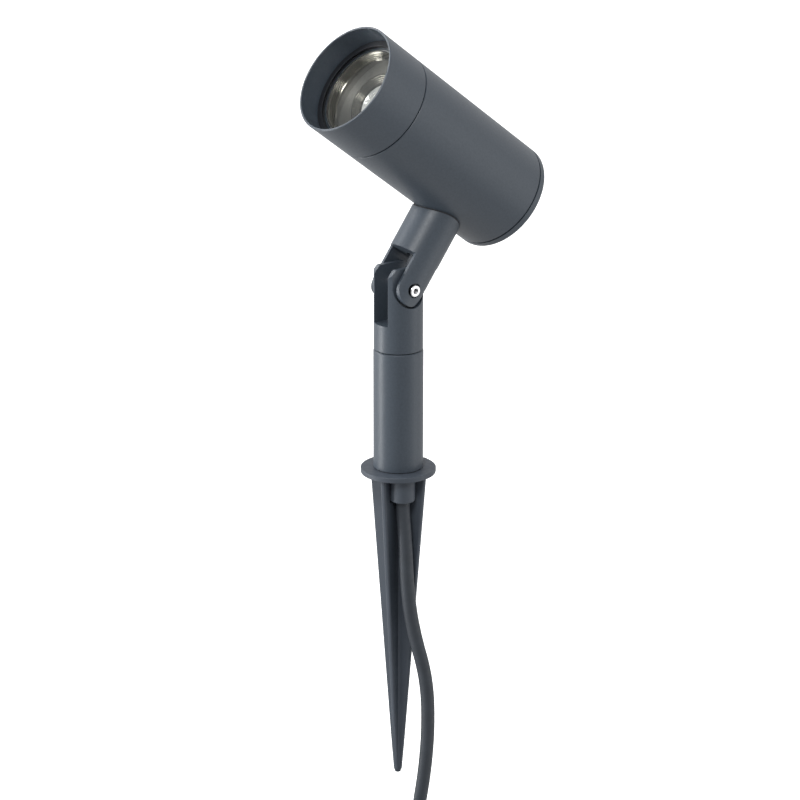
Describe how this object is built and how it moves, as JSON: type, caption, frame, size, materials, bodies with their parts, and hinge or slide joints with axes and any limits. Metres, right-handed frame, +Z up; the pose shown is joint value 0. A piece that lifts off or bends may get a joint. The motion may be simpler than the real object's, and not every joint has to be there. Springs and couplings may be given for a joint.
{
  "type": "light projector stake",
  "caption": "Garden-spike spotlight: ribbed ground spike, swivelling stem fork, tilting arm and cylindrical lamp head with unscrewable snoot, supply cable with plug.",
  "frame": {"origin": "centre of the ground flange's underside, which rests on the soil", "axes": "+Z up along the stem; the lamp looks towards -Y, tilted 36.8 degrees above level; the tilt axis is parallel to X"},
  "size_m": [0.0669, 0.1649, 0.6075],
  "materials": {
    "powder_coat": "fine matte anthracite powder coat",
    "spike_plastic": "glass-filled grey plastic, slightly satin",
    "black_plastic": "glossy black plastic",
    "cable_rubber": "dull dark rubber sheath",
    "seal_rubber": "matte black seal rubber",
    "bush_nylon": "natural nylon",
    "steel": "bright stainless steel",
    "zinc_steel": "zinc-plated steel",
    "brass": "plain brass",
    "clear_glass": "clear toughened glass",
    "lamp_bronze": "satin bronze lacquer",
    "lamp_shell": "grey lamp body",
    "lamp_silver": "bright faceted reflector",
    "holder_ceramic": "unglazed steatite",
    "terminal_nylon": "natural nylon",
    "core_pvc": "brown silicone core",
    "earth_pvc": "green and yellow earth core",
    "strap_fabric": "black hook-and-loop strap"
  },
  "bodies": {
    "ground": {"ground_spike": "spike_plastic", "gland_nut": "spike_plastic", "gland_seal": "seal_rubber", "base_gasket": "seal_rubber", "stem_tube": "powder_coat", "swivel_bush": "bush_nylon", "stem_lead": "cable_rubber", "supply_cable": "cable_rubber", "cable_hank": "cable_rubber", "cable_tie": "strap_fabric", "plug_tail": "cable_rubber", "plug_body": "cable_rubber", "plug_pins": "steel", "plug_earth_clips": "zinc_steel"},
    "fork": {"stem_fork": "powder_coat", "swivel_o_ring": "seal_rubber", "swivel_washer": "bush_nylon", "swivel_nut": "zinc_steel", "fork_lead": "cable_rubber", "friction_washers": "black_plastic"},
    "head": {"tilt_arm": "powder_coat", "pivot_screw": "steel", "pivot_nut": "steel", "arm_gasket": "seal_rubber", "arm_nipple": "zinc_steel", "nipple_nut": "zinc_steel", "knuckle_lead": "cable_rubber", "arm_lead": "cable_rubber", "head_tube": "powder_coat", "rear_cap": "powder_coat", "rear_o_ring": "seal_rubber", "lamp_housing": "lamp_shell", "lamp_reflector": "lamp_bronze", "lamp_lens": "lamp_silver", "lamp_driver": "terminal_nylon", "lamp_pins": "brass", "lamp_holder": "holder_ceramic", "holder_screws": "zinc_steel", "holder_bracket": "zinc_steel", "bracket_screws": "zinc_steel", "terminal_block": "terminal_nylon", "terminal_screws": "brass", "holder_leads": "core_pvc", "core_leads": "core_pvc", "earth_lead": "earth_pvc", "earth_tag": "zinc_steel", "earth_screw": "zinc_steel"},
    "front_seal": {"snoot_o_ring": "seal_rubber"},
    "snoot": {"snoot": "powder_coat", "glass_ring": "black_plastic", "front_glass": "clear_glass", "glass_gasket": "seal_rubber"}
  },
  "joints": [
    {"name": "stem_swivel", "type": "hinge", "parent": "ground", "child": "fork", "pos_m": [0, 0, 0.0698], "axis": [0, 0, 1], "range_deg": [-170, 170]},
    {"name": "head_tilt", "type": "hinge", "parent": "fork", "child": "head", "pos_m": [0, 0, 0.1046], "axis": [1, 0, 0], "range_deg": [-8, 81], "deforming": ["knuckle_lead"]},
    {"name": "snoot_travel", "type": "slide", "parent": "head", "child": "front_seal", "axis": [0, -0.8007, 0.599], "range_m": [0, 0.0061]},
    {"name": "snoot_turn", "type": "hinge", "parent": "front_seal", "child": "snoot", "pos_m": [0, 0.04301, 0.16209], "axis": [0, -0.8007, 0.599], "range_deg": [0, 1080]}
  ],
  "couplings": [
    {"joint": "snoot_travel", "follows": "snoot_turn", "m_per_rad": 0.00031831}
  ]
}
